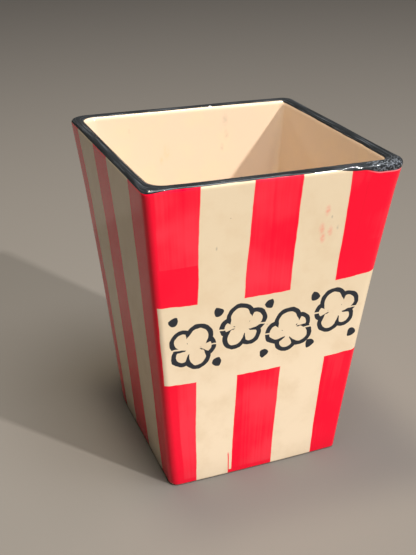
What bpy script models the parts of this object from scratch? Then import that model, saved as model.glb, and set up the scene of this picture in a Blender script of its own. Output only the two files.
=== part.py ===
"""A square earthenware bucket for popcorn, open at the top and narrower at its foot.

It is one casting: a flat floor and four sides that flare a little towards the rim, with round
corners and a thick lip with a flat top. The origin is the middle of the foot, +Z runs up through
the open mouth, and -Y is the front.
"""

import math

import bmesh
import bpy
from mathutils import Vector

# Outside of the bucket, in metres
HEIGHT = 0.205
RIM_WIDTH = 0.160
FOOT_WIDTH = 0.1165
SIDE_HOLLOW = 0.0011
RIM_CORNER = 0.0070
FOOT_CORNER = 0.0085

# Thickness of the clay, and the corners inside
WALL = 0.0078
FLOOR = 0.0085
INNER_RIM_CORNER = 0.0115
INNER_FLOOR_CORNER = 0.0115

# Edges softened by hand and by the glaze
LIP_ROUND = 0.0029
FOOT_ROUND = 0.0018
FLOOR_ROUND = 0.0060

# Fineness of the faceted surface
CORNER_STEPS = 8
HEIGHT_STEPS = 14
LIP_STEPS = 4
FOOT_STEPS = 3
FLOOR_STEPS = 3
SHARPEST_SMOOTH_ANGLE = math.radians(40)

# Colours of the glazes
CREAM = (0.82, 0.69, 0.47, 1.0)
BLACK = (0.012, 0.014, 0.018, 1.0)
GLAZE_ROUGHNESS = 0.18

# The block that the bucket is drawn from has wide corners, so that its inner and outer corner
# points are easy to tell apart.
BLOCK_CORNER = RIM_WIDTH / 4
CORNER_STEP = math.pi / 2 / CORNER_STEPS
DEEPEST_HOLLOW = math.sqrt(1 / 3) - math.sqrt(1 / 3) ** 3


def clear_scene():
    for old in list(bpy.data.objects):
        bpy.data.objects.remove(old)


def between(foot_value, rim_value, height):
    """A value that changes evenly from the foot to the rim."""
    return foot_value + (rim_value - foot_value) * height / HEIGHT


def half_width(height):
    """Half the outside width: an even taper, drawn in by the slight hollow of the sides."""
    up = height / HEIGHT
    hollow = SIDE_HOLLOW * (up - up**3) / DEEPEST_HOLLOW
    return between(FOOT_WIDTH, RIM_WIDTH, height) / 2 - hollow


def make_block():
    """A tall square block with round upright edges, standing on the ground plane."""
    block = bmesh.new()
    bmesh.ops.create_cube(block, size=1.0)
    bmesh.ops.scale(block, verts=block.verts, vec=(RIM_WIDTH, RIM_WIDTH, HEIGHT))
    bmesh.ops.translate(block, verts=block.verts, vec=(0, 0, HEIGHT / 2))
    uprights = [e for e in block.edges if abs(e.verts[0].co.z - e.verts[1].co.z) > HEIGHT / 2]
    bmesh.ops.bevel(
        block,
        geom=uprights,
        offset=BLOCK_CORNER,
        segments=CORNER_STEPS,
        profile=0.5,
        affect="EDGES",
        material=-1,
    )
    return block


def hollow_out(block):
    """Sinks the inside into the block, a wall's thickness in from its sides."""
    block.faces.ensure_lookup_table()
    top = max(block.faces, key=lambda face: face.calc_center_median().z)
    bmesh.ops.inset_region(block, faces=[top], thickness=WALL, use_even_offset=True)
    sunk = bmesh.ops.extrude_discrete_faces(block, faces=[top])["faces"][0]
    bmesh.ops.translate(block, verts=sunk.verts, vec=(0, 0, FLOOR - HEIGHT))


def cut_levels(block):
    """Level cuts round the walls, which let them follow the hollow taper."""
    for step in range(1, HEIGHT_STEPS):
        everything = block.verts[:] + block.edges[:] + block.faces[:]
        level = Vector((0, 0, HEIGHT * step / HEIGHT_STEPS))
        bmesh.ops.bisect_plane(block, geom=everything, plane_co=level, plane_no=(0, 0, 1))


def draw_walls(block):
    """Draws every level of the block in to the bucket's own width and corner radius there."""
    centre = RIM_WIDTH / 2 - BLOCK_CORNER
    for vert in block.verts:
        out_x = abs(vert.co.x) - centre
        out_y = abs(vert.co.y) - centre
        turn = round(math.atan2(out_y, out_x) / CORNER_STEP) * CORNER_STEP
        half = half_width(vert.co.z)
        if math.hypot(out_x, out_y) < BLOCK_CORNER - WALL / 2:
            half -= WALL
            corner = between(INNER_FLOOR_CORNER, INNER_RIM_CORNER, vert.co.z)
        else:
            corner = between(FOOT_CORNER, RIM_CORNER, vert.co.z)
        vert.co.x = math.copysign(half - corner + corner * math.cos(turn), vert.co.x)
        vert.co.y = math.copysign(half - corner + corner * math.sin(turn), vert.co.y)


def round_edge(block, height, radius, steps):
    """Rounds every edge that lies round the bucket at this height and turns a corner there."""

    def level(edge):
        return all(abs(vert.co.z - height) < WALL / 100 for vert in edge.verts)

    def turns(edge):
        return edge.calc_face_angle() > math.radians(45)

    edges = [edge for edge in block.edges if level(edge) and turns(edge)]
    bmesh.ops.bevel(
        block,
        geom=edges,
        offset=radius,
        segments=steps,
        profile=0.5,
        affect="EDGES",
        material=-1,
    )


def make_glaze(name, colour):
    glaze = bpy.data.materials.new(name)
    glaze.use_nodes = True
    shader = glaze.node_tree.nodes["Principled BSDF"]
    shader.inputs["Base Color"].default_value = colour
    shader.inputs["Roughness"].default_value = GLAZE_ROUGHNESS
    shader.inputs["Metallic"].default_value = 0.0
    return glaze


def glaze_rim(mesh):
    """The lip takes the second glaze, black."""
    for face in mesh.polygons:
        face.material_index = int(face.center.z > HEIGHT - LIP_ROUND)


def make_bucket():
    block = make_block()
    hollow_out(block)
    cut_levels(block)
    draw_walls(block)
    round_edge(block, HEIGHT, LIP_ROUND, LIP_STEPS)
    round_edge(block, FLOOR, FLOOR_ROUND, FLOOR_STEPS)
    round_edge(block, 0.0, FOOT_ROUND, FOOT_STEPS)

    mesh = bpy.data.meshes.new("bucket")
    block.to_mesh(mesh)
    block.free()
    mesh.materials.append(make_glaze("cream_glaze", CREAM))
    mesh.materials.append(make_glaze("black_glaze", BLACK))
    glaze_rim(mesh)
    mesh.shade_smooth()
    mesh.set_sharp_from_angle(angle=SHARPEST_SMOOTH_ANGLE)
    return bpy.data.objects.new("bucket", mesh)


def main():
    clear_scene()
    collection = bpy.data.collections.new("popcorn_bucket")
    bpy.context.scene.collection.children.link(collection)
    collection.objects.link(make_bucket())


main()
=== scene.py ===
# %% [markdown]
# # A hand-painted pottery bucket
#
# This lesson dresses one object: a square earthenware bucket for popcorn. On the real thing, liquid
# clay was cast in a mould, red stripes were brushed on by hand, a black line was run round the lip,
# and the whole was dipped in clear glaze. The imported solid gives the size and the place. Here the
# same form is made again with a finer surface, and then painted with shader nodes only.
#
# Sizes are in metres. The middle of the foot is the origin, +Z is up and -Y is the front.

# %% Load the frame
import math

import bmesh
import bpy
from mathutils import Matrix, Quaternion, Vector, noise


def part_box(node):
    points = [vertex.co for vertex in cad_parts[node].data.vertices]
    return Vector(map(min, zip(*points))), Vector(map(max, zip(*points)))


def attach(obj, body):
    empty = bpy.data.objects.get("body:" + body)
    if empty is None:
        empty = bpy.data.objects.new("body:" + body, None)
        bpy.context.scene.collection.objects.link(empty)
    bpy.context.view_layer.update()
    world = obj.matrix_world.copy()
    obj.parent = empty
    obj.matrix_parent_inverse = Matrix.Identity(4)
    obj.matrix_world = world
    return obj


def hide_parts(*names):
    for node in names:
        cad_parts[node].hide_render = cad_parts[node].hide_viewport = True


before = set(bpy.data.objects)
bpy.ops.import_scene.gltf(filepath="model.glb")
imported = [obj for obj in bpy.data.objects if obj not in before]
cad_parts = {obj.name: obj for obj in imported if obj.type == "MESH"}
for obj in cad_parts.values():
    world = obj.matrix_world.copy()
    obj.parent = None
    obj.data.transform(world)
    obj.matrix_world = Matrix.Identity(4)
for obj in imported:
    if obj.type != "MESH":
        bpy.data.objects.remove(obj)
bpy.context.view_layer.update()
RIM_WIDTH = 0.160
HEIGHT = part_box("bucket")[1].z

# %% [markdown]
# ## The camera
#
# A picture of a box tells where the camera stood: the edges that run away from us meet at points
# that fix its height, turn and lens. The camera here stands a little left of the front and looks
# down on the open mouth, half a metre off. Two points and a lens are easier to read and to adjust
# than a list of angles, so the camera is aimed from one point at another.

# %% Camera
CAMERA_PLACE = Vector((-0.2039, -0.5106, 0.3631))
CAMERA_AIM = Vector((-0.0115, 0.0, 0.1121))
CAMERA_ROLL = math.radians(0.18)
FOCAL_LENGTH_MM = 60.2

camera = bpy.data.objects.new("camera", bpy.data.cameras.new("camera"))
bpy.context.scene.collection.objects.link(camera)
camera.data.lens = FOCAL_LENGTH_MM
camera.data.clip_start = 0.01
camera.location = CAMERA_PLACE
camera.rotation_mode = "QUATERNION"
looking = (CAMERA_AIM - CAMERA_PLACE).to_track_quat("-Z", "Y")
camera.rotation_quaternion = looking @ Quaternion((0, 0, 1), CAMERA_ROLL)
bpy.context.scene.camera = camera
print("camera stands", round((CAMERA_AIM - CAMERA_PLACE).length, 3), "m from its aim")

# %% [markdown]
# ## The light
#
# Glaze shows what is round it, so the studio is kept plain. One lamp stands far off, to the right of
# the camera: it lights the front, and it is small enough to leave the slanting edge of the right
# wall's shadow readable inside. Its turn is read off the photographed object: the edges of two
# shadows, one inside and one on the ground, can only both be met from one direction. A cooler soft
# sheet hangs high up, and a small warm one hangs over the mouth and a little to the left. Both reach
# into the mouth, so the shade in there is not black, and they leave the left side dark.
# Blender's usual view softens strong colours, and a red glaze should stay a strong red, so the plain
# view is chosen.

# %% Light
KEY_TURN = Vector((0.454, -0.711, 0.537))
KEY_DISTANCE = 8.0
KEY_SIZE = 0.25
KEY_POWER = 650.0
KEY_COLOUR = (1.0, 0.97, 0.93)
SKY_TURN = Vector((0.12, -0.30, 0.95))
SKY_DISTANCE = 2.2
SKY_SIZE = 1.2
SKY_POWER = 56.0
SKY_COLOUR = (0.94, 0.97, 1.0)
FILL_TURN = Vector((-0.10, 0.07, 0.99))
FILL_DISTANCE = 1.2
FILL_SIZE = 0.25
FILL_POWER = 10.5
FILL_COLOUR = (1.0, 0.90, 0.70)
ROOM_COLOUR = (1.0, 0.96, 0.90, 1.0)
ROOM_STRENGTH = 0.05


def add_sheet_light(name, turn, distance, size, power, colour):
    """A square sheet of light that faces the bucket."""
    place = CAMERA_AIM + turn.normalized() * distance
    lamp = bpy.data.objects.new(name, bpy.data.lights.new(name, "AREA"))
    bpy.context.scene.collection.objects.link(lamp)
    lamp.data.shape = "SQUARE"
    lamp.data.size = size
    lamp.data.energy = power
    lamp.data.color = colour
    lamp.location = place
    lamp.rotation_mode = "QUATERNION"
    lamp.rotation_quaternion = (CAMERA_AIM - place).to_track_quat("-Z", "Y")
    print(name, "at", [round(x, 2) for x in place])


add_sheet_light("key_light", KEY_TURN, KEY_DISTANCE, KEY_SIZE, KEY_POWER, KEY_COLOUR)
add_sheet_light("sky_light", SKY_TURN, SKY_DISTANCE, SKY_SIZE, SKY_POWER, SKY_COLOUR)
add_sheet_light("fill_light", FILL_TURN, FILL_DISTANCE, FILL_SIZE, FILL_POWER, FILL_COLOUR)

room = bpy.data.worlds.new("pale_room")
room.use_nodes = True
room.node_tree.nodes["Background"].inputs["Color"].default_value = ROOM_COLOUR
room.node_tree.nodes["Background"].inputs["Strength"].default_value = ROOM_STRENGTH
bpy.context.scene.world = room
bpy.context.scene.view_settings.view_transform = "Standard"

# %% [markdown]
# ## The form, step 1: a hollow block
#
# The bucket is a square that changes width on its way up. Taper, corner radius and hollow sides
# could each be made with a modifier, but they work on one another. So the shape is first made
# upright and regular, where every operator behaves well, and one function draws it in afterwards.
#
# The block's upright edges are given a very wide bevel. That keeps the corner points of the inner
# and the outer wall far apart until the drawing step needs them.

# %% Hollow block
WALL = 0.0078
FLOOR = 0.0085
BLOCK_CORNER = RIM_WIDTH / 4
CORNER_STEPS = 14
ROUND_PROFILE = 0.5


def bevel_edges(shape, edges, radius, steps):
    """A round bevel: the editor's defaults have to be spelled out in bmesh."""
    bmesh.ops.bevel(
        shape,
        geom=edges,
        offset=radius,
        segments=steps,
        profile=ROUND_PROFILE,
        affect="EDGES",
        material=-1,
    )


block = bmesh.new()
bmesh.ops.create_cube(block, size=1.0)
bmesh.ops.scale(block, verts=block.verts, vec=(RIM_WIDTH, RIM_WIDTH, HEIGHT))
bmesh.ops.translate(block, verts=block.verts, vec=(0, 0, HEIGHT / 2))
uprights = [e for e in block.edges if abs(e.verts[0].co.z - e.verts[1].co.z) > HEIGHT / 2]
bevel_edges(block, uprights, BLOCK_CORNER, CORNER_STEPS)

block.faces.ensure_lookup_table()
top = max(block.faces, key=lambda face: face.calc_center_median().z)
bmesh.ops.inset_region(block, faces=[top], thickness=WALL, use_even_offset=True)
inside_floor = bmesh.ops.extrude_discrete_faces(block, faces=[top])["faces"][0]
bmesh.ops.translate(block, verts=inside_floor.verts, vec=(0, 0, FLOOR - HEIGHT))
print("hollow block:", len(block.faces), "faces")

# %% [markdown]
# ## The form, step 2: softened edges
#
# A potter wipes every edge with a wet sponge, and the glaze rounds it again. The lip keeps a narrow
# flat on top between two rounds, the foot has a small round, and the inside floor a wide one. The
# round edges are bevelled while the walls are still upright, and each is found by its height.

# %% Softened edges
LIP_ROUND = 0.0029
FOOT_ROUND = 0.0018
FLOOR_ROUND = 0.0060
LIP_STEPS = 7
FOOT_STEPS = 5
FLOOR_STEPS = 8


def edges_at(shape, height):
    """The edges round the block at one height where its surface turns a corner."""
    found = []
    for edge in shape.edges:
        level = all(abs(vert.co.z - height) < WALL / 100 for vert in edge.verts)
        if level and edge.calc_face_angle() > math.radians(45):
            found.append(edge)
    return found


bevel_edges(block, edges_at(block, HEIGHT), LIP_ROUND, LIP_STEPS)
bevel_edges(block, edges_at(block, FLOOR), FLOOR_ROUND, FLOOR_STEPS)
bevel_edges(block, edges_at(block, 0.0), FOOT_ROUND, FOOT_STEPS)
print("with soft edges:", len(block.faces), "faces")

# %% [markdown]
# ## The form, step 3: a skin fine enough to be uneven
#
# A cast wall is never quite flat, and that shows in the way a reflection wanders over it. Moving
# points can only show that if there are enough of them, so the long flats are cut into columns and
# the walls into levels. `subdivide_edges` makes the columns, because it only has to be told which
# edges to divide. `bisect_plane` makes the levels, each one a cut through both walls.

# %% Columns and levels
FLAT_COLUMNS = 28
LEVEL_COUNT = 62
FLAT_MARGIN = 0.0010

long_edges = [e for e in block.edges if e.calc_length() > RIM_WIDTH / 4]
flat_edges = [e for e in long_edges if abs(e.verts[0].co.z - e.verts[1].co.z) < WALL / 100]
bmesh.ops.subdivide_edges(block, edges=flat_edges, cuts=FLAT_COLUMNS - 1, use_grid_fill=True)

lowest_cut = FLOOR + FLOOR_ROUND + FLAT_MARGIN
highest_cut = HEIGHT - LIP_ROUND - FLAT_MARGIN
for step in range(LEVEL_COUNT + 1):
    height = lowest_cut + (highest_cut - lowest_cut) * step / LEVEL_COUNT
    everything = block.verts[:] + block.edges[:] + block.faces[:]
    bmesh.ops.bisect_plane(block, geom=everything, plane_co=(0, 0, height), plane_no=(0, 0, 1))

flats = [face for face in block.faces if len(face.verts) > 4]
bmesh.ops.inset_individual(block, faces=flats, thickness=FLAT_MARGIN, use_even_offset=True)
print("fine skin:", len(block.verts), "points")

# %% [markdown]
# ## The form, step 4: drawn in to the bucket
#
# Now the regular block takes the bucket's outline. At each height the outside has its own half
# width and corner radius. A point keeps its depth behind the outer wall, its place along the flat
# and its turn round the corner, so rounds stay round and the wall keeps its thickness. The sides
# are not straight: they are drawn in by a millimetre a little above the middle, which makes the rim
# seem to flare. No two corners are alike: each has its own radii, and its own swelling inside, where
# the liquid clay set thicker. A second function warps the whole as drying clay does: the foot goes
# askew, so that its front edge runs a little away from us to the right, and the left side leans in
# towards the front at the rim.

# %% Drawn in
FOOT_WIDTH = 0.1165
SIDE_HOLLOW = 0.0011
FOOT_SKEW = 0.030
FOOT_SKEW_CURVE = 0.20
SKEW_CENTRE = -0.010
FOOT_SHIFT = 0.0004
LEFT_LEAN = 0.0026
LEAN_CURVE = 2.4
CORNERS = {
    "front left": {"rim": 0.0042, "foot": 0.0056, "inner": 0.0115, "swell": 0.0003},
    "front right": {"rim": 0.0095, "foot": 0.0034, "inner": 0.0075, "swell": 0.0006},
    "back right": {"rim": 0.0070, "foot": 0.0085, "inner": 0.0040, "swell": 0.0007},
    "back left": {"rim": 0.0095, "foot": 0.0085, "inner": 0.0090, "swell": 0.0000},
}
BLOCK_FLAT = RIM_WIDTH / 2 - BLOCK_CORNER
DEEPEST_HOLLOW = math.sqrt(1 / 3) - math.sqrt(1 / 3) ** 3


def between(foot_value, rim_value, height):
    return foot_value + (rim_value - foot_value) * height / HEIGHT


def half_width(height):
    up = height / HEIGHT
    hollow = SIDE_HOLLOW * (up - up**3) / DEEPEST_HOLLOW
    return between(FOOT_WIDTH, RIM_WIDTH, height) / 2 - hollow


def depth_behind_wall(point):
    """How far a point of the block lies behind the block's outer wall."""
    out_x = abs(point.x) - BLOCK_FLAT
    out_y = abs(point.y) - BLOCK_FLAT
    if min(out_x, out_y) > 0:
        return BLOCK_CORNER - math.hypot(out_x, out_y)
    return BLOCK_CORNER - max(out_x, out_y)


def draw_in(point):
    """Where a point of the upright block lies on a perfectly square bucket."""
    out_x = abs(point.x) - BLOCK_FLAT
    out_y = abs(point.y) - BLOCK_FLAT
    depth = depth_behind_wall(point)
    inward = min(max(depth / WALL, 0), 1)
    corner_name = ("back " if point.y > 0 else "front ") + ("right" if point.x > 0 else "left")
    nearest = CORNERS[corner_name]
    outer_corner = between(nearest["foot"], nearest["rim"], point.z)
    corner = outer_corner + (nearest["inner"] - outer_corner) * inward
    corner = max(corner - max(depth - WALL, 0), 0)
    if point.z < FLOOR / 2:
        corner = max(outer_corner - depth, 0)
    share = min(min(abs(point.x), abs(point.y)) / BLOCK_FLAT, 1)
    half = half_width(point.z) - depth - nearest["swell"] * inward * share**2
    straight = half - corner
    if min(out_x, out_y) > 0:
        turn = math.atan2(out_y, out_x)
        x = straight + corner * math.cos(turn)
        y = straight + corner * math.sin(turn)
    elif out_x > out_y:
        x, y = half, straight * abs(point.y) / BLOCK_FLAT
    else:
        x, y = straight * abs(point.x) / BLOCK_FLAT, half
    return Vector((math.copysign(x, point.x), math.copysign(y, point.y), point.z))


def warp(square):
    """Where a point of the perfectly square bucket lies on the warped one."""
    low = between(1, 0, square.z)
    half = half_width(square.z)
    leftness = max(-square.x / half, 0)
    frontness = (1 - square.y / half) / 2
    lean = LEFT_LEAN * leftness * frontness * (1 - low) ** LEAN_CURVE
    sideways = square.x - SKEW_CENTRE
    x = square.x + FOOT_SHIFT * low + lean
    y = square.y + (FOOT_SKEW * sideways + FOOT_SKEW_CURVE * sideways**2) * low
    return Vector((x, y, square.z))


inward_layer = block.verts.layers.float.new("inward")
square_layer = block.verts.layers.float_vector.new("square_place")
for vert in block.verts:
    vert[inward_layer] = min(max(depth_behind_wall(vert.co) / WALL, 0), 1)
    vert[square_layer] = draw_in(vert.co)
    vert.co = warp(vert[square_layer])
print("half width at the foot, middle and rim:",
      [round(half_width(HEIGHT * share), 4) for share in (0, 0.5, 1)])

# %% [markdown]
# ## The form, step 5: the hand in it
#
# Two kinds of unevenness are added. Slow waves run over the whole skin, a quarter of a millimetre
# deep, as a mould and a drying wall leave them. And the black glaze of the lip has gathered into a
# bead at the front right corner. Both move points along the surface's own normals. The foot stays
# flat, so that the bucket stands still.

# %% Uneven skin
WAVE_DEPTH = 0.00028
WAVE_LENGTH = 0.045
STEADY_HEIGHT = 0.012
BEAD_CORNER = Vector((half_width(HEIGHT), -half_width(HEIGHT), HEIGHT - LIP_ROUND))
BEAD_REACH = 0.013
BEAD_HEIGHT = 0.00045
BEAD_GRAIN = 0.004
BEAD_LEAST = 0.75
BEAD_LUMPS = 0.5
BEAD_ENDS_INWARD = 0.9

block.normal_update()
moves = []
for vert in block.verts:
    steady = min(vert.co.z / STEADY_HEIGHT, 1)
    wave = noise.noise(vert.co / WAVE_LENGTH) * WAVE_DEPTH * steady
    near = max(1 - (vert.co - BEAD_CORNER).length / BEAD_REACH, 0)
    lump = BEAD_LEAST + BEAD_LUMPS * noise.noise(vert.co / BEAD_GRAIN)
    on_lip = vert[inward_layer] < BEAD_ENDS_INWARD
    bead = BEAD_HEIGHT * math.sqrt(near) * lump if on_lip else 0
    moves.append(vert.normal * (wave + bead))
for vert, move in zip(block.verts, moves):
    vert.co += move
print("deepest move:", round(max(move.length for move in moves) * 1000, 2), "mm")

# %% [markdown]
# ## Coordinates for the painter
#
# The stripes taper with the bucket, so the painter's coordinates have to taper too. A UV map called
# `round_and_up` counts the four sides in X, from the front left corner round to the right, and the
# share of the height in Y. On each side X follows the ratio of a point's two coordinates before the
# warp, which is one exactly at the corner. The map is written for every face corner, because the
# last side ends at four where the first begins at zero.

# %% Painter's coordinates
SIDE_TURNS = {"front": 0, "right": 1, "back": 2, "left": 3}


def side_of(point):
    if abs(point.x) > abs(point.y):
        return "right" if point.x > 0 else "left"
    return "back" if point.y > 0 else "front"


def along_side(point, side):
    """From -1 at a side's left corner to 1 at its right one, seen from outside."""
    if side in ("front", "back"):
        share = point.x / max(abs(point.y), WALL / 100)
        return share if side == "front" else -share
    share = point.y / max(abs(point.x), WALL / 100)
    return share if side == "right" else -share


paint_map = block.loops.layers.uv.new("round_and_up")
for face in block.faces:
    side = side_of(sum((vert[square_layer] for vert in face.verts), Vector()) / len(face.verts))
    for loop in face.loops:
        along = min(max(along_side(loop.vert[square_layer], side), -1), 1)
        loop[paint_map].uv = (SIDE_TURNS[side] + (along + 1) / 2, loop.vert.co.z / HEIGHT)
block.verts.layers.float_vector.remove(square_layer)

bucket_mesh = bpy.data.meshes.new("painted_bucket")
block.to_mesh(bucket_mesh)
block.free()
bucket_mesh.shade_smooth()
bucket = bpy.data.objects.new("painted_bucket", bucket_mesh)
bpy.context.scene.collection.objects.link(bucket)
triangles = sum(len(polygon.vertices) - 2 for polygon in bucket_mesh.polygons)
print("painted bucket:", triangles, "triangles")

# %% [markdown]
# ## Helpers for shader nodes
#
# A node tree written line by line is hard to follow, so three small helpers do the typing: `add`
# places a node and fills its sockets, `calc` is one sum, and `blend_colours` mixes two colours by
# a mask. Each takes plain values and other nodes' sockets alike.

# %% Node helpers
def fill(tree, socket, value):
    if isinstance(value, bpy.types.NodeSocket):
        tree.links.new(value, socket)
    else:
        socket.default_value = value


def add(tree, kind, inputs=None, **settings):
    made = tree.nodes.new(kind)
    for name, value in settings.items():
        setattr(made, name, value)
    for key_or_index, value in (inputs or {}).items():
        fill(tree, made.inputs[key_or_index], value)
    return made


def calc(tree, operation, *values):
    """One Math node: its values are numbers or sockets."""
    return add(tree, "ShaderNodeMath", dict(enumerate(values)), operation=operation).outputs[0]


def ramp(tree, value, start, end, low=0.0, high=1.0):
    """A smooth step from low to high while the value runs from start to end."""
    sockets = {"Value": value, "From Min": start, "From Max": end, "To Min": low, "To Max": high}
    made = add(tree, "ShaderNodeMapRange", sockets, interpolation_type="SMOOTHSTEP")
    return made.outputs["Result"]


def blend_colours(tree, mask, under, over):
    made = add(tree, "ShaderNodeMix", data_type="RGBA")
    fill(tree, made.inputs[0], mask)
    fill(tree, made.inputs[6], under)
    fill(tree, made.inputs[7], over)
    return made.outputs[2]


def grain(tree, vector, scale, detail=2.0, roughness=0.5):
    """Noise between 0 and 1 on a vector."""
    sockets = {"Vector": vector, "Scale": scale, "Detail": detail, "Roughness": roughness}
    return add(tree, "ShaderNodeTexNoise", sockets).outputs["Fac"]


def new_group(name, inputs, outputs):
    """A shader node group with float or vector sockets, and its two end nodes."""
    group = bpy.data.node_groups.new(name, "ShaderNodeTree")
    for socket_name, kind in inputs.items():
        group.interface.new_socket(socket_name, in_out="INPUT", socket_type=kind)
    for socket_name, kind in outputs.items():
        group.interface.new_socket(socket_name, in_out="OUTPUT", socket_type=kind)
    start = group.nodes.new("NodeGroupInput")
    end = group.nodes.new("NodeGroupOutput")
    return group, start.outputs, end.inputs


FLOAT = "NodeSocketFloat"
VECTOR = "NodeSocketVector"
print("node helpers ready")

# %% [markdown]
# ## A band of paint
#
# Every stripe is one long stroke between a left and a right edge, and each edge runs from a place
# at the foot to a place at the rim. That is one node group, used once for each stripe. Its edges
# are soft over less than a millimetre, about what wet colour does under glaze.

# %% Band of paint
EDGE_SOFTNESS = 0.0022

band_group, given, result = new_group(
    "painted_band",
    {"Round": FLOAT, "Up": FLOAT, "Left Foot": FLOAT, "Left Rim": FLOAT,
     "Right Foot": FLOAT, "Right Rim": FLOAT},
    {"Paint": FLOAT},
)


def edge_line(tree, foot, rim, up):
    rise = calc(tree, "SUBTRACT", rim, foot)
    return calc(tree, "MULTIPLY_ADD", rise, up, foot)


left_line = edge_line(band_group, given["Left Foot"], given["Left Rim"], given["Up"])
right_line = edge_line(band_group, given["Right Foot"], given["Right Rim"], given["Up"])
past_left = calc(band_group, "SUBTRACT", given["Round"], left_line)
before_right = calc(band_group, "SUBTRACT", right_line, given["Round"])
closest = calc(band_group, "MINIMUM", past_left, before_right)
fill(band_group, result["Paint"], ramp(band_group, closest, -EDGE_SOFTNESS, EDGE_SOFTNESS))
print("group:", band_group.name)

# %% [markdown]
# ## A popped kernel and an unpopped one
#
# The plain band across the front carries a row of stencilled motifs. A popped kernel is a puff of
# overlapping lobes, and it is worked out from distances: the distance to a lobe's edge is negative
# inside and positive outside, and ink lies where it is close to zero. Each lobe hides the lines
# behind it, and its own line tapers off where it runs in over the others, which gives the folds.
# A stencil needs bridges that hold its middle in place, so a thin level gap crosses each puff.
#
# The unpopped kernel is filled: it is the space that two wide circles and a small one share.

# %% Popped kernel
MILLIMETRE = 0.001
INK_WIDTH = 3.0 * MILLIMETRE
TAIL_LENGTH = 5.0 * MILLIMETRE
TAIL_END = -0.3 * MILLIMETRE
BRIDGE_WIDTH = 1.0 * MILLIMETRE
INK_SOFTNESS = 0.12 * MILLIMETRE
PUFF_LOBES_MM = (
    (0.0, 0.0, 8.2),
    (-7.0, -3.4, 5.8),
    (7.4, -2.4, 5.4),
    (1.2, -8.2, 6.4),
    (-5.0, 6.4, 6.6),
    (4.8, 5.8, 7.4),
)


def motif_group(name):
    """A group for one motif, with the place on it measured from its own turned centre."""
    inputs = {"Place": VECTOR, "Centre Across": FLOAT, "Centre Up": FLOAT, "Turn": FLOAT,
              "Flip": FLOAT}
    group, given, result = new_group(name, inputs, {"Ink": FLOAT})
    centre = add(group, "ShaderNodeCombineXYZ",
                 {"X": given["Centre Across"], "Y": given["Centre Up"]}).outputs[0]
    offset = add(group, "ShaderNodeVectorMath", {0: given["Place"], 1: centre},
                 operation="SUBTRACT").outputs[0]
    flip = add(group, "ShaderNodeCombineXYZ", {"X": given["Flip"], "Y": 1.0}).outputs[0]
    turned = add(group, "ShaderNodeVectorRotate", {"Vector": offset, "Angle": given["Turn"]},
                 rotation_type="Z_AXIS").outputs[0]
    flipped = add(group, "ShaderNodeVectorMath", {0: turned, 1: flip},
                  operation="MULTIPLY").outputs[0]
    return group, result, offset, flipped


def circle_edge(group, place, across, up, radius):
    """The distance from a circle's edge: below zero inside."""
    centre = (across * MILLIMETRE, up * MILLIMETRE, 0)
    reach = add(group, "ShaderNodeVectorMath", {0: place, 1: centre}, operation="DISTANCE")
    return calc(group, "SUBTRACT", reach.outputs["Value"], radius * MILLIMETRE)


puff_group, result, offset, place = motif_group("popped_kernel")
ink = 0.0
hidden = 1.0
for lobe in PUFF_LOBES_MM:
    edge = circle_edge(puff_group, place, *lobe)
    half_line = ramp(puff_group, hidden, -TAIL_LENGTH, 0.0, TAIL_END, INK_WIDTH / 2)
    past_line = calc(puff_group, "SUBTRACT", calc(puff_group, "ABSOLUTE", edge), half_line)
    line = ramp(puff_group, past_line, INK_SOFTNESS, -INK_SOFTNESS)
    off_lobe = ramp(puff_group, edge, -INK_SOFTNESS, INK_SOFTNESS)
    left_showing = calc(puff_group, "MULTIPLY", ink, off_lobe)
    ink = calc(puff_group, "MAXIMUM", line, left_showing)
    hidden = calc(puff_group, "MINIMUM", hidden, edge)
level = add(puff_group, "ShaderNodeSeparateXYZ", {0: offset}).outputs["Y"]
past_bridge = calc(puff_group, "SUBTRACT", calc(puff_group, "ABSOLUTE", level), BRIDGE_WIDTH / 2)
solid = ramp(puff_group, past_bridge, -INK_SOFTNESS, INK_SOFTNESS)
fill(puff_group, result["Ink"], calc(puff_group, "MULTIPLY", ink, solid))
print("group:", puff_group.name, "with", len(PUFF_LOBES_MM), "lobes")

# %% Unpopped kernel
SEED_CIRCLES_MM = ((2.0, 0.0, 4.9), (-2.0, 0.0, 4.9), (0.0, -1.5, 3.5))

seed_group, result, offset, place = motif_group("unpopped_kernel")
seed_edge = -1.0
for circle in SEED_CIRCLES_MM:
    seed_edge = calc(seed_group, "MAXIMUM", seed_edge, circle_edge(seed_group, place, *circle))
fill(seed_group, result["Ink"], ramp(seed_group, seed_edge, INK_SOFTNESS, -INK_SOFTNESS))
print("group:", seed_group.name)

# %% [markdown]
# ## The painted glaze, part 1: where each colour lies
#
# One material covers the bucket, because one glaze does. Its first half only makes masks: stripes,
# front band, motifs, black lip and bare foot. Each mask is a number between 0 and 1 over the
# surface. The hand shows in them too: before a stripe reads its place, the place is nudged by slow
# noise, so that every edge wavers as a brush does.

# %% Places on the glaze
glaze = bpy.data.materials.new("painted_glaze")
glaze.use_nodes = True
tree = glaze.node_tree
shader = tree.nodes["Principled BSDF"]

here = add(tree, "ShaderNodeTexCoord").outputs["Object"]
here_parts = add(tree, "ShaderNodeSeparateXYZ", {0: here}).outputs
across, up_height = here_parts["X"], here_parts["Z"]
mapped = add(tree, "ShaderNodeUVMap", uv_map="round_and_up").outputs["UV"]
mapped_parts = add(tree, "ShaderNodeSeparateXYZ", {0: mapped}).outputs
round_raw, up_share = mapped_parts["X"], mapped_parts["Y"]
inward = add(tree, "ShaderNodeAttribute", attribute_name="inward").outputs["Fac"]
OUTSIDE_FADES = (0.5, 0.3)
outside = ramp(tree, inward, *OUTSIDE_FADES)

SMOOTH_DETAIL = 1.0
SLOW_WAVER = 0.010
SLOW_SCALE = 22.0
QUICK_WAVER = 0.0018
QUICK_SCALE = 170.0


def centred(noise_value):
    """Noise brought to lie round zero."""
    return calc(tree, "SUBTRACT", noise_value, 0.5)


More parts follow.
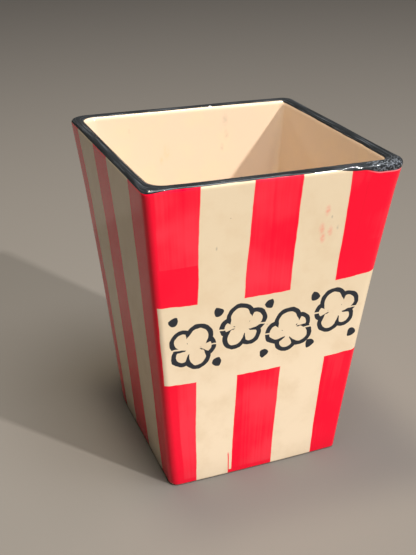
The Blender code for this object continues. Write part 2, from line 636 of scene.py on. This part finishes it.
slow = centred(grain(tree, here, SLOW_SCALE, SMOOTH_DETAIL))
quick = centred(grain(tree, here, QUICK_SCALE))
slow_nudge = calc(tree, "MULTIPLY", slow, SLOW_WAVER * 2)
quick_nudge = calc(tree, "MULTIPLY", quick, QUICK_WAVER * 2)
waver = calc(tree, "ADD", slow_nudge, quick_nudge)
round_place = calc(tree, "ADD", round_raw, waver)
face_place = add(tree, "ShaderNodeCombineXYZ", {"X": across, "Y": up_height}).outputs[0]
SIDE_SOFTNESS = 0.02


def past_place(start):
    """A mask of all that lies past one count round the bucket."""
    return ramp(tree, round_raw, start - SIDE_SOFTNESS, start + SIDE_SOFTNESS)


def between_sides(start, end):
    """A mask of the stretch from one count round the bucket to another."""
    before_end = ramp(tree, round_raw, end + SIDE_SOFTNESS, end - SIDE_SOFTNESS)
    return calc(tree, "MULTIPLY", past_place(start), before_end)


TALL = 2.0
squeezed_place = add(tree, "ShaderNodeVectorMath", {0: face_place, 1: (1.0, 1.0 / TALL, 1.0)},
                     operation="MULTIPLY").outputs[0]


def spots(places, where):
    """Soft marks on the front or the back, twice as tall as wide: each has a centre and a reach."""
    marks = 0.0
    for centre_across, centre_up, reach in places:
        centre = (centre_across, centre_up / TALL, 0.0)
        away = add(tree, "ShaderNodeVectorMath", {0: squeezed_place, 1: centre},
                   operation="DISTANCE")
        marks = calc(tree, "MAXIMUM", marks, ramp(tree, away.outputs["Value"], reach, 0.0))
    return calc(tree, "MULTIPLY", marks, where)


on_front = calc(tree, "MULTIPLY", outside, between_sides(SIDE_SOFTNESS, 1 - SIDE_SOFTNESS))
on_back_inside = calc(tree, "MULTIPLY", inward, between_sides(2 + SIDE_SOFTNESS, 3 - SIDE_SOFTNESS))
on_right_inside = calc(tree, "MULTIPLY", inward, between_sides(1, 2))
on_left_outside = calc(tree, "MULTIPLY", outside, past_place(3))
print("masks read:", "round_and_up, inward and Object coordinates")

# %% [markdown]
# ## The painted glaze, part 2: stripes
#
# Each side has a red stripe in its middle, and a red stripe goes round each corner. A stripe's edges
# are given as shares of the half width, at the rim and at the foot. The front and the left side are
# set as painted; the other two are painted the same way, with their own small differences. Low on
# the front one hair of the brush has strayed and left a whisker of red beside the stripe, joined to
# it where the brush landed.

# %% Stripes
STRIPE_EDGES = {
    "front": {"rim": (-0.598, -0.188, 0.179, 0.552), "foot": (-0.714, -0.315, 0.173, 0.669)},
    "right": {"rim": (-0.630, -0.205, 0.205, 0.620), "foot": (-0.715, -0.255, 0.220, 0.700)},
    "back": {"rim": (-0.610, -0.190, 0.220, 0.655), "foot": (-0.700, -0.270, 0.190, 0.690)},
    "left": {"rim": (-0.690, -0.252, 0.116, 0.646), "foot": (-0.680, -0.290, 0.209, 0.686)},
}
SEAM_START = -0.3
SIDE_ORDER = ("front", "right", "back", "left")
SIDE_COUNT = len(SIDE_ORDER)


def round_at(side_number, share):
    return side_number + (share + 1) / 2


def band(left, right):
    """One stripe, from its left edge at foot and rim to its right edge."""
    placed = add(tree, "ShaderNodeGroup", node_tree=band_group)
    for name, value in zip(("Left Foot", "Left Rim", "Right Foot", "Right Rim"), left + right):
        placed.inputs[name].default_value = value
    fill(tree, placed.inputs["Round"], wrapped)
    fill(tree, placed.inputs["Up"], up_share)
    return placed.outputs["Paint"]


def edge_places(side_number, which):
    """An edge's place at the foot and at the rim, counted round the bucket."""
    edges = STRIPE_EDGES[SIDE_ORDER[side_number % SIDE_COUNT]]
    return tuple(round_at(side_number, edges[end][which]) for end in ("foot", "rim"))


wrapped = calc(tree, "WRAP", round_place, SEAM_START + SIDE_COUNT, SEAM_START)
stripes = 0.0
for number in range(SIDE_COUNT):
    middle = band(edge_places(number, 1), edge_places(number, 2))
    corner_stripe = band(edge_places(number - 1, 3), edge_places(number, 0))
    stripes = calc(tree, "MAXIMUM", stripes, calc(tree, "MAXIMUM", middle, corner_stripe))
WHISKER = (0.324, 0.330)
WHISKER_TOP = 0.019
WHISKER_FADE = 0.003
LANDING_END = 0.36
LANDING_TOP = 0.0042
LANDING_FADE = 0.0008


def short_stroke(start, end, top, fade):
    """A stroke that stands on the foot and stops at a height."""
    stroke = band((start, start), (end, end))
    return calc(tree, "MULTIPLY", stroke, ramp(tree, up_height, top, top - fade))


whisker = short_stroke(*WHISKER, WHISKER_TOP, WHISKER_FADE)
landing = short_stroke(WHISKER[0], LANDING_END, LANDING_TOP, LANDING_FADE)
stripes = calc(tree, "MAXIMUM", stripes, calc(tree, "MAXIMUM", whisker, landing))
print("stripes:", SIDE_COUNT, "in the middles and", SIDE_COUNT, "round the corners")

# %% [markdown]
# ## The painted glaze, part 3: the plain band and its motifs
#
# Across the front the stripes stop for a plain band. Its edges were painted freehand and dip a
# little in the middle. Between them stands the row of popped kernels, turned this way and that and
# set alternately higher and lower. On the left side the red stops just short of the foot.

# %% Front band
BAND_TOP = 0.1305
BAND_TOP_DIP = 0.0033
BAND_TOP_TILT = 0.0008
BAND_FOOT = 0.0767
BAND_FOOT_DIP = 0.0020
BAND_ENDS = (0.010, 1.014)
BAND_SOFTNESS = 0.0002
LEFT_FOOT_LINE = 0.0018
BAND_WAVER = 0.0011

along = calc(tree, "MULTIPLY_ADD", round_raw, 2.0, -1.0)
along_squared = calc(tree, "MULTIPLY", along, along)
wavered_height = calc(tree, "MULTIPLY_ADD", quick, BAND_WAVER, up_height)
top_line = calc(tree, "MULTIPLY_ADD", along_squared, BAND_TOP_DIP, BAND_TOP)
top_line = calc(tree, "MULTIPLY_ADD", along, BAND_TOP_TILT, top_line)
foot_line = calc(tree, "MULTIPLY_ADD", along_squared, BAND_FOOT_DIP, BAND_FOOT)
below_top = calc(tree, "SUBTRACT", top_line, wavered_height)
above_foot = calc(tree, "SUBTRACT", wavered_height, foot_line)
inside_height = calc(tree, "MINIMUM", below_top, above_foot)
in_height = ramp(tree, inside_height, -BAND_SOFTNESS, BAND_SOFTNESS)
past_start = calc(tree, "SUBTRACT", round_place, BAND_ENDS[0])
before_end = calc(tree, "SUBTRACT", BAND_ENDS[1], round_place)
inside_round = calc(tree, "MINIMUM", past_start, before_end)
in_round = ramp(tree, inside_round, -EDGE_SOFTNESS, EDGE_SOFTNESS)
front_band = calc(tree, "MULTIPLY", in_height, in_round)
red_paint = calc(tree, "MULTIPLY", stripes, calc(tree, "SUBTRACT", 1.0, front_band))
red_paint = calc(tree, "MULTIPLY", red_paint, outside)
bare_line = ramp(tree, up_height, LEFT_FOOT_LINE, LEFT_FOOT_LINE / 2)
bare_line = calc(tree, "MULTIPLY", on_left_outside, bare_line)
red_paint = calc(tree, "MAXIMUM", calc(tree, "SUBTRACT", red_paint, bare_line), 0.0)
print("front band:", round((BAND_TOP - BAND_FOOT) * 1000), "mm tall")

# %% Motifs
PUFFS = (
    {"across": -0.0465, "up": 0.1028, "turn": -0.25, "flip": 1},
    {"across": -0.0158, "up": 0.1112, "turn": 0.45, "flip": -1},
    {"across": 0.0152, "up": 0.1026, "turn": -0.90, "flip": 1},
    {"across": 0.0456, "up": 0.1110, "turn": 0.35, "flip": -1},
)
SEEDS = (
    {"across": -0.0595, "up": 0.1215, "turn": -2.4, "flip": 1},
    {"across": -0.0316, "up": 0.0905, "turn": -0.5, "flip": 1},
    {"across": -0.0310, "up": 0.1232, "turn": 2.6, "flip": -1},
    {"across": -0.0006, "up": 0.0902, "turn": 0.3, "flip": 1},
    {"across": 0.0000, "up": 0.1228, "turn": -2.6, "flip": -1},
    {"across": 0.0302, "up": 0.0910, "turn": 0.5, "flip": 1},
    {"across": 0.0306, "up": 0.1226, "turn": -3.5, "flip": 1},
    {"across": 0.0592, "up": 0.0930, "turn": 0.7, "flip": -1},
)
INK_WAVER = 0.0006
INK_WAVER_SCALE = 240.0

waver_sockets = {"Vector": here, "Scale": INK_WAVER_SCALE, "Detail": SMOOTH_DETAIL}
waver_colour = add(tree, "ShaderNodeTexNoise", waver_sockets).outputs["Color"]
nudge_centred = add(tree, "ShaderNodeVectorMath", {0: waver_colour, 1: (0.5, 0.5, 0.5)},
                    operation="SUBTRACT").outputs[0]
nudge_scaled = add(tree, "ShaderNodeVectorMath", {0: nudge_centred}, operation="SCALE")
nudge_scaled.inputs["Scale"].default_value = INK_WAVER * 2
nudged_place = add(tree, "ShaderNodeVectorMath", {0: face_place, 1: nudge_scaled.outputs[0]},
                   operation="ADD").outputs[0]
ink_place = add(tree, "ShaderNodeVectorMath", {0: nudged_place, 1: (1.0, 1.0, 0.0)},
                operation="MULTIPLY").outputs[0]

motifs = 0.0
for group, places in ((puff_group, PUFFS), (seed_group, SEEDS)):
    for motif in places:
        placed = add(tree, "ShaderNodeGroup", {}, node_tree=group)
        fill(tree, placed.inputs["Place"], ink_place)
        placed.inputs["Centre Across"].default_value = motif["across"]
        placed.inputs["Centre Up"].default_value = motif["up"]
        placed.inputs["Turn"].default_value = motif["turn"]
        placed.inputs["Flip"].default_value = motif["flip"]
        motifs = calc(tree, "MAXIMUM", motifs, placed.outputs["Ink"])
motif_ink = calc(tree, "MULTIPLY", calc(tree, "MULTIPLY", motifs, front_band), outside)
print("motifs:", len(PUFFS), "popped kernels and", len(SEEDS), "unpopped ones")

# %% [markdown]
# ## The painted glaze, part 4: the black lip and the bare foot
#
# The black covers the flat of the lip and rolls over both rounds, with an edge that wanders. It
# reaches further down on the outside of the left side and on the inside of the right one. Along the
# front it sags towards the right, and at the front right corner it has run down in a thick pool. The
# foot was wiped clean, or the bucket would have stuck to the kiln shelf, so bare clay shows there.

# %% Lip and foot
BLACK_OUTSIDE = 0.0012
BLACK_INSIDE = 0.0006
BLACK_INSIDE_RIGHT = 0.0017
BLACK_OUTSIDE_LEFT = 0.0019
LEFT_BLACK_FADES = (0.09, 0.0)
BLACK_WAVER = 0.0005
BLACK_SOFTNESS = 0.00010
SAG_ROUND = (0.70, 0.80)
SAG_DEPTH = 0.0016
SAG_ENDS = (1.10, 1.02)
POOL_ROUND = 0.935
POOL_REACH = 0.115
POOL_DEPTH = 0.0022
FOOT_BARE = 0.0005
FOOT_SOFTNESS = 0.0002
WANDER_SCALE = 70.0

wander = centred(grain(tree, here, WANDER_SCALE))
sag = ramp(tree, round_raw, *SAG_ROUND, 0.0, SAG_DEPTH)
sag = calc(tree, "MULTIPLY", sag, ramp(tree, round_raw, *SAG_ENDS))
pool_near = calc(tree, "ABSOLUTE", calc(tree, "SUBTRACT", round_place, POOL_ROUND))
pool = ramp(tree, pool_near, POOL_REACH, POOL_REACH / 3)
running = calc(tree, "MULTIPLY_ADD", pool, POOL_DEPTH, sag)
running = calc(tree, "MULTIPLY", running, outside)
past_left_corner = calc(tree, "MULTIPLY", outside, ramp(tree, round_raw, *LEFT_BLACK_FADES))
deeper_left = calc(tree, "MAXIMUM", on_left_outside, past_left_corner)
black_depth = BLACK_OUTSIDE
for where, more in (
        (inward, BLACK_INSIDE - BLACK_OUTSIDE),
        (on_right_inside, BLACK_INSIDE_RIGHT - BLACK_INSIDE),
        (deeper_left, BLACK_OUTSIDE_LEFT - BLACK_OUTSIDE),
        (wander, BLACK_WAVER)):
    black_depth = calc(tree, "MULTIPLY_ADD", where, more, black_depth)
black_depth = calc(tree, "ADD", black_depth, running)
below_rim = calc(tree, "SUBTRACT", HEIGHT, up_height)
over_edge = calc(tree, "SUBTRACT", black_depth, below_rim)
black_paint = ramp(tree, over_edge, -BLACK_SOFTNESS, BLACK_SOFTNESS)

clay_height = calc(tree, "MULTIPLY_ADD", wander, FOOT_BARE, up_height)
bare_foot = ramp(tree, clay_height, FOOT_BARE + FOOT_SOFTNESS, FOOT_BARE)
print("black reaches", BLACK_OUTSIDE * 1000, "mm down outside,", BLACK_INSIDE * 1000, "mm inside")

# %% [markdown]
# ## The painted glaze, part 5: colours
#
# Underglaze red is never even. It is thin where the brush was dry and deep where two coats overlap,
# and it is streaked along the stroke. The second coat has a sharp edge: it follows the corners, takes
# in the ends of the stripes above the band, and runs round the foot. So the red is mixed from a thin
# and a full colour, and the streaks are noise that is stretched along the height. The brush was
# fuller at the right of the front and on the other three sides. The outside cream is painted paler
# low down: that is painted light, standing in for light thrown up from the floor in front. The cream
# also has faint clouds, a few pinholes, and pink smudges where a red finger touched it.

# %% Red
RED_THIN = (0.96, 0.034, 0.064, 1.0)
RED_FULL = (0.95, 0.000, 0.028, 1.0)
RED_DEEP = (0.76, 0.000, 0.010, 1.0)
STREAKS_ROUND = 56.0
STREAKS_UP = 1.3
FINE_DETAIL = 3.0
FINE_ROUGHNESS = 0.6
LOWER_COAT_REACH = 0.075
LINE_COAT_REACH = 0.30
UPPER_COAT_REACH = 0.035
LINE_COAT_TOP = 0.1565
FOOT_COAT_TOP = 0.0040
COAT_SOFTNESS = 0.003
LINE_SOFTNESS = 0.0005
FOOT_COAT_SOFTNESS = 0.0008
COAT_WAVER = 0.15
COAT_COVER = 0.85
STREAKS_OVER_CLOUDS = 0.45
THIN_FROM_TO = (0.50, 0.94)
DEEP_FROM_TO = (0.56, 0.74)
DEEP_COVER = 0.28
FULLER_FROM_TO = (0.72, 0.82)
FULLER_RIGHT = 0.60
CLOUD_SCALE = 30.0

stretched = add(tree, "ShaderNodeCombineXYZ", {
    "X": calc(tree, "MULTIPLY", round_place, STREAKS_ROUND),
    "Y": calc(tree, "MULTIPLY", up_share, STREAKS_UP),
}).outputs[0]
streaks = grain(tree, stretched, 1.0, FINE_DETAIL, FINE_ROUGHNESS)
clouds = grain(tree, here, CLOUD_SCALE)
corner_distance = calc(tree, "PINGPONG", round_place, 0.5)
coat_height = calc(tree, "MULTIPLY_ADD", slow_nudge, COAT_WAVER, up_height)
above_line = ramp(tree, coat_height, LINE_COAT_TOP - LINE_SOFTNESS, LINE_COAT_TOP + LINE_SOFTNESS)
coat_reach = ramp(tree, up_height, BAND_FOOT, BAND_TOP, LOWER_COAT_REACH, LINE_COAT_REACH)
coat_reach = calc(tree, "MULTIPLY_ADD", above_line, UPPER_COAT_REACH - LINE_COAT_REACH, coat_reach)
coat_edge = calc(tree, "SUBTRACT", corner_distance, coat_reach)
corner_coat = ramp(tree, coat_edge, COAT_SOFTNESS, -COAT_SOFTNESS)
foot_coat = ramp(tree, coat_height, FOOT_COAT_TOP + FOOT_COAT_SOFTNESS,
                 FOOT_COAT_TOP - FOOT_COAT_SOFTNESS)
second_coat = calc(tree, "MAXIMUM", corner_coat, foot_coat)
unevenness = calc(tree, "MULTIPLY_ADD", streaks, STREAKS_OVER_CLOUDS, clouds)
thinness = ramp(tree, unevenness, *THIN_FROM_TO)
fuller = ramp(tree, round_raw, *FULLER_FROM_TO, 0.0, FULLER_RIGHT)
thinness = calc(tree, "MAXIMUM", calc(tree, "SUBTRACT", thinness, fuller), 0.0)
red = blend_colours(tree, thinness, RED_FULL, RED_THIN)
red = blend_colours(tree, calc(tree, "MULTIPLY", second_coat, COAT_COVER), red, RED_FULL)
deep_streaks = calc(tree, "MULTIPLY", ramp(tree, streaks, *DEEP_FROM_TO), DEEP_COVER)
red = blend_colours(tree, deep_streaks, red, RED_DEEP)
print("reds mixed")

# %% Cream
CREAM_OUTSIDE = (0.80, 0.65, 0.450, 1.0)
# Painted light: the outside cream turns lighter low down, standing in for light thrown up from the
# floor.
CREAM_PAINTED_BOUNCE = (0.89, 0.725, 0.525, 1.0)
PAINTED_BOUNCE_REACH = (0.150, 0.050)
# Painted shade: the inside is the same glaze as the outside, but its cream is set darker here, to
# hold down the light that the inside walls throw at one another.
SHADED_CREAM_INSIDE = (0.665, 0.505, 0.368, 1.0)
CREAM_CLOUD = (0.72, 0.545, 0.350, 1.0)
MOTTLE_SCALE = 55.0
MOTTLE_DETAIL = 4.0
MOTTLE_FROM_TO = (0.40, 0.75)
MOTTLE_COVER = 0.45
MARK_SCALE = 420.0
MARK_FROM_TO = (0.35, 0.60)
MARK_LEAST = 0.35
PINHOLE = (0.30, 0.19, 0.11, 1.0)
PINHOLE_SCALE = 110.0
PINHOLE_SELDOM = 0.86
PINHOLE_REACH = 0.045
PINHOLE_COVER = 0.6
SMUDGE = (0.86, 0.30, 0.22, 1.0)
SMUDGE_COVER = 0.75
SMUDGES = (
    (0.0317, 0.1797, 0.0024),
    (0.0292, 0.1684, 0.0026),
    (0.0347, 0.1663, 0.0024),
    (0.0303, 0.1625, 0.0024),
)
GREY_MARK_AND_SHADE = (0.33, 0.30, 0.24, 1.0)
SPECK_AND_SHADE_COVER = 0.60
SCRATCH_COVER = 0.40
# The last front speck is painted shade: the dark side of a small bump in the glaze, which the mesh
# does not have. The other two are grey specks.
FRONT_SPECKS_AND_BUMP_SHADE = (
    (0.0348, 0.1754, 0.0008),
    (0.0393, 0.1683, 0.0012),
    (-0.0348, 0.1654, 0.0009),
)
INSIDE_SCRATCHES = (
    (0.0273, 0.1950, 0.0030),
    (0.0277, 0.1850, 0.0026),
    (0.0244, 0.1764, 0.0020),
    (-0.0412, 0.1932, 0.0012),
)
STAIN = (0.74, 0.46, 0.27, 1.0)
STAIN_COVER = 0.55
INSIDE_STAINS = (
    (-0.0199, 0.1716, 0.0022),
    (-0.0160, 0.1770, 0.0040),
)

cream = blend_colours(tree, ramp(tree, up_height, *PAINTED_BOUNCE_REACH), CREAM_OUTSIDE, CREAM_PAINTED_BOUNCE)
cream = blend_colours(tree, inward, cream, SHADED_CREAM_INSIDE)
mottle = grain(tree, here, MOTTLE_SCALE, MOTTLE_DETAIL, FINE_ROUGHNESS)
mottle = ramp(tree, mottle, *MOTTLE_FROM_TO, 0.0, MOTTLE_COVER)
cream = blend_colours(tree, mottle, cream, CREAM_CLOUD)
mark_grain = ramp(tree, grain(tree, here, MARK_SCALE), *MARK_FROM_TO, MARK_LEAST, 1.0)
for marks, cover, tint in (
        (spots(SMUDGES, on_front), SMUDGE_COVER, SMUDGE),
        (spots(FRONT_SPECKS_AND_BUMP_SHADE, on_front), SPECK_AND_SHADE_COVER, GREY_MARK_AND_SHADE),
        (spots(INSIDE_SCRATCHES, on_back_inside), SCRATCH_COVER, GREY_MARK_AND_SHADE),
        (spots(INSIDE_STAINS, on_back_inside), STAIN_COVER, STAIN)):
    strong = calc(tree, "MULTIPLY", calc(tree, "MULTIPLY", marks, mark_grain), cover)
    cream = blend_colours(tree, strong, cream, tint)
holes = add(tree, "ShaderNodeTexVoronoi", {"Vector": here, "Scale": PINHOLE_SCALE})
hole_size = add(tree, "ShaderNodeSeparateColor", {0: holes.outputs["Color"]}).outputs["Red"]
hole_reach = ramp(tree, hole_size, PINHOLE_SELDOM, 1.0, 0.0, PINHOLE_REACH)
pinholes = calc(tree, "LESS_THAN", holes.outputs["Distance"], hole_reach)
pinholes = calc(tree, "MULTIPLY", pinholes, PINHOLE_COVER)
cream = blend_colours(tree, pinholes, cream, PINHOLE)
print("creams mixed")

# %% [markdown]
# The lip's black has lighter, bluish streaks along the brush's way: there the glaze is thinner, and
# the streaks are also a painted reflection of the sky on the lip. The pool at the front right corner
# is pitted where gas came up through it, and a pale pink line is painted in the red just under its
# edge. A small chip at the back of the lip shows the pale clay.

# %% All colours together
BLACK = (0.014, 0.016, 0.018, 1.0)
BLACK_THIN_AND_SHEEN = (0.080, 0.088, 0.102, 1.0)
POOL_PITS = (0.135, 0.150, 0.175, 1.0)
PIT_SCALE = 850.0
PITS_FROM_TO = (0.48, 0.62)
POOL_LINE = (1.0, 0.38, 0.42, 1.0)
POOL_LINE_REACH = (-0.0011, -0.0004)
POOL_LINE_COVER = 0.6
CHIP_PLACE = (0.0172, 0.0728, 0.2045)
CHIP_REACH = 0.0013
CHIP = (0.85, 0.80, 0.72, 1.0)
INK = (0.022, 0.026, 0.034, 1.0)
BARE_CLAY = (0.62, 0.50, 0.36, 1.0)
LIP_STREAKS_ROUND = 4.5
LIP_STREAKS_ACROSS = 9.0
LIP_STREAKS_FROM_TO = (0.47, 0.75)

colour = blend_colours(tree, red_paint, cream, red)
colour = blend_colours(tree, motif_ink, colour, INK)
# Painted reflection: the lighter, bluish streaks stand for the sky mirrored in the black lip, besides
# thinner glaze; the same streaks also shape the ridges of the black below.
along_lip = add(tree, "ShaderNodeCombineXYZ", {
    "X": calc(tree, "MULTIPLY", round_place, LIP_STREAKS_ROUND),
    "Y": calc(tree, "MULTIPLY", inward, LIP_STREAKS_ACROSS),
}).outputs[0]
lip_streaks_and_sheen = grain(tree, along_lip, 1.0, FINE_DETAIL, FINE_ROUGHNESS)
lip_streaks_and_sheen = ramp(tree, lip_streaks_and_sheen, *LIP_STREAKS_FROM_TO)
black = blend_colours(tree, lip_streaks_and_sheen, BLACK, BLACK_THIN_AND_SHEEN)
pits = ramp(tree, grain(tree, here, PIT_SCALE, SMOOTH_DETAIL), *PITS_FROM_TO)
black = blend_colours(tree, calc(tree, "MULTIPLY", pool, pits), black, POOL_PITS)
# A pale pink line is painted in the red just under the pool's edge.
pool_line = calc(tree, "MULTIPLY", pool, POOL_LINE_COVER)
under_pool = calc(tree, "MULTIPLY", ramp(tree, over_edge, *POOL_LINE_REACH), pool_line)
colour = blend_colours(tree, calc(tree, "MULTIPLY", under_pool, outside), colour, POOL_LINE)
colour = blend_colours(tree, black_paint, colour, black)
from_chip = add(tree, "ShaderNodeVectorMath", {0: here, 1: CHIP_PLACE}, operation="DISTANCE")
chip = ramp(tree, from_chip.outputs["Value"], CHIP_REACH, CHIP_REACH / 2)
colour = blend_colours(tree, chip, colour, CHIP)
colour = blend_colours(tree, bare_foot, colour, BARE_CLAY)
fill(tree, shader.inputs["Base Color"], colour)
print("colours joined")

# %% [markdown]
# ## The painted glaze, part 6: gloss and relief
#
# Clear glaze is glass: smooth and hard, with a skin like orange peel. It has filled up level over the
# red paint, but the black of the lip is thick and stands up in ridges along the stroke. Bare clay has
# no gloss at all.

# %% Gloss and relief
GLAZE_ROUGHNESS = 0.09
GLAZE_IOR = 1.38
GLOSS_LESS_AND_MORE = (-0.03, 0.05)
GLOSS_FROM_TO = (0.3, 0.7)
BLACK_SMOOTHER = -0.04
CLAY_ROUGHNESS = 0.85
PEEL_SCALE = 330.0
PEEL_HEIGHT = 0.035
BLACK_HEIGHT = 0.35
STREAK_RIDGES = 0.5
RELIEF_DISTANCE = 0.0006

smoothest, roughest = [GLAZE_ROUGHNESS + more for more in GLOSS_LESS_AND_MORE]
gloss_clouds = ramp(tree, clouds, *GLOSS_FROM_TO, smoothest, roughest)
gloss_clouds = calc(tree, "MULTIPLY_ADD", black_paint, BLACK_SMOOTHER, gloss_clouds)
roughness = ramp(tree, bare_foot, 0.0, 1.0, 0.0, CLAY_ROUGHNESS)
fill(tree, shader.inputs["Roughness"], calc(tree, "MAXIMUM", gloss_clouds, roughness))
shader.inputs["IOR"].default_value = GLAZE_IOR

peel = calc(tree, "MULTIPLY", grain(tree, here, PEEL_SCALE, SMOOTH_DETAIL), PEEL_HEIGHT)
ridges = calc(tree, "MULTIPLY_ADD", lip_streaks_and_sheen, STREAK_RIDGES, 1.0)
black_height = calc(tree, "MULTIPLY", calc(tree, "MULTIPLY", black_paint, ridges), BLACK_HEIGHT)
height = calc(tree, "ADD", peel, black_height)
relief = add(tree, "ShaderNodeBump",
             {"Height": height, "Distance": RELIEF_DISTANCE, "Strength": 1.0})
fill(tree, shader.inputs["Normal"], relief.outputs["Normal"])
bucket_mesh.materials.append(glaze)
print("nodes in the glaze:", len(tree.nodes))

# %% [markdown]
# ## The floor it stands on
#
# The floor is not part of the object. It is one large pale sheet, wide enough to fill the view to
# its top, and matt, so that it takes a soft shadow and throws a little light back up.

# %% Floor
FLOOR_SIZE = 12.0
FLOOR_COLOUR = (0.165, 0.148, 0.130, 1.0)
FLOOR_ROUGHNESS = 0.8

sheet = bmesh.new()
bmesh.ops.create_grid(sheet, x_segments=1, y_segments=1, size=FLOOR_SIZE / 2)
floor_mesh = bpy.data.meshes.new("studio_floor")
sheet.to_mesh(floor_mesh)
sheet.free()
floor = bpy.data.objects.new("studio_floor", floor_mesh)
bpy.context.scene.collection.objects.link(floor)
paper = bpy.data.materials.new("floor_paper")
paper.use_nodes = True
paper_shader = paper.node_tree.nodes["Principled BSDF"]
paper_shader.inputs["Base Color"].default_value = FLOOR_COLOUR
paper_shader.inputs["Roughness"].default_value = FLOOR_ROUGHNESS
floor_mesh.materials.append(paper)

# %% Put together
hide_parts("bucket")
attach(bucket, "root")
